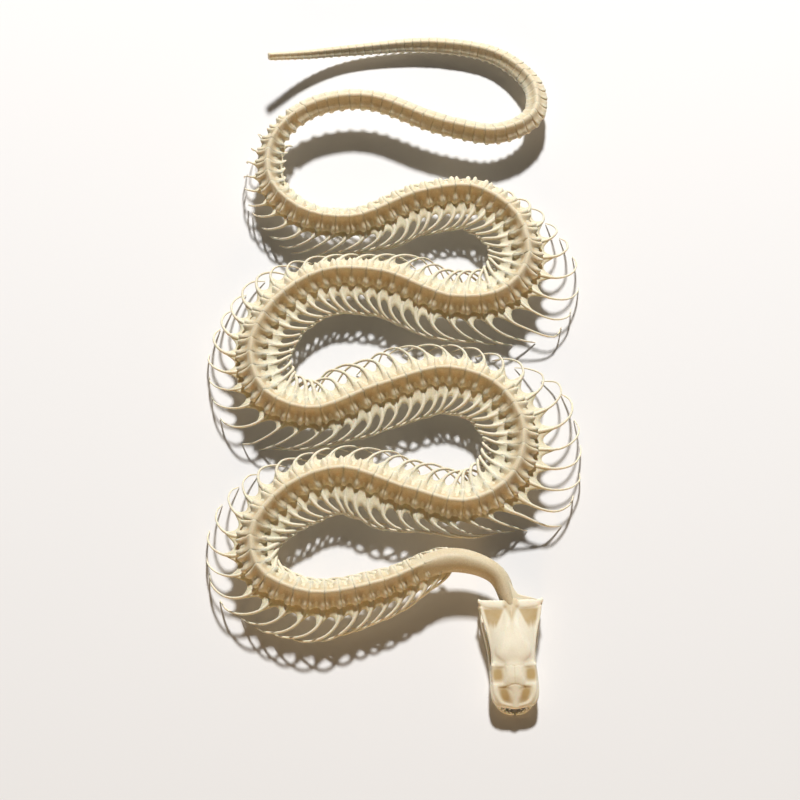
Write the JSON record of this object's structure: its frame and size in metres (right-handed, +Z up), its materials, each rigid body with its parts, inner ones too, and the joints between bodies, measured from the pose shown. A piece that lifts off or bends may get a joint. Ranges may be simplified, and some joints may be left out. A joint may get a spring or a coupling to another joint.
{
  "type": "snake skeleton",
  "caption": "Skeleton of a stout-bodied snake lying in flat bends: skull with jaws, backbone with swept-back ribs, and a bare raised tail.",
  "frame": {"origin": "middle of the model's outline on the surface it lies on", "axes": "+Z up, the skull points along -Y, the tail tip lies at +Y and -X"},
  "size_m": [0.169, 0.3356, 0.0208],
  "materials": {
    "skull_bone": "dry cream bone with tan dried tissue in the recesses",
    "body_bone": "dry cream bone with a tan band of dried tissue along the backbone"
  },
  "bodies": {
    "root": {"cranium": "skull_bone", "quadrate_right": "skull_bone", "quadrate_left": "skull_bone", "mandible_right": "skull_bone", "mandible_left": "skull_bone", "neck_left": "body_bone", "neck_right": "body_bone", "trunk_1_left": "body_bone", "trunk_1_right": "body_bone", "trunk_2_left": "body_bone", "trunk_2_right": "body_bone", "trunk_3_left": "body_bone", "trunk_3_right": "body_bone", "trunk_4_left": "body_bone", "trunk_4_right": "body_bone", "trunk_5_left": "body_bone", "trunk_5_right": "body_bone", "trunk_6_left": "body_bone", "trunk_6_right": "body_bone", "tail_base": "body_bone", "tail_bend": "body_bone", "tail_tip": "body_bone"}
  },
  "joints": []
}
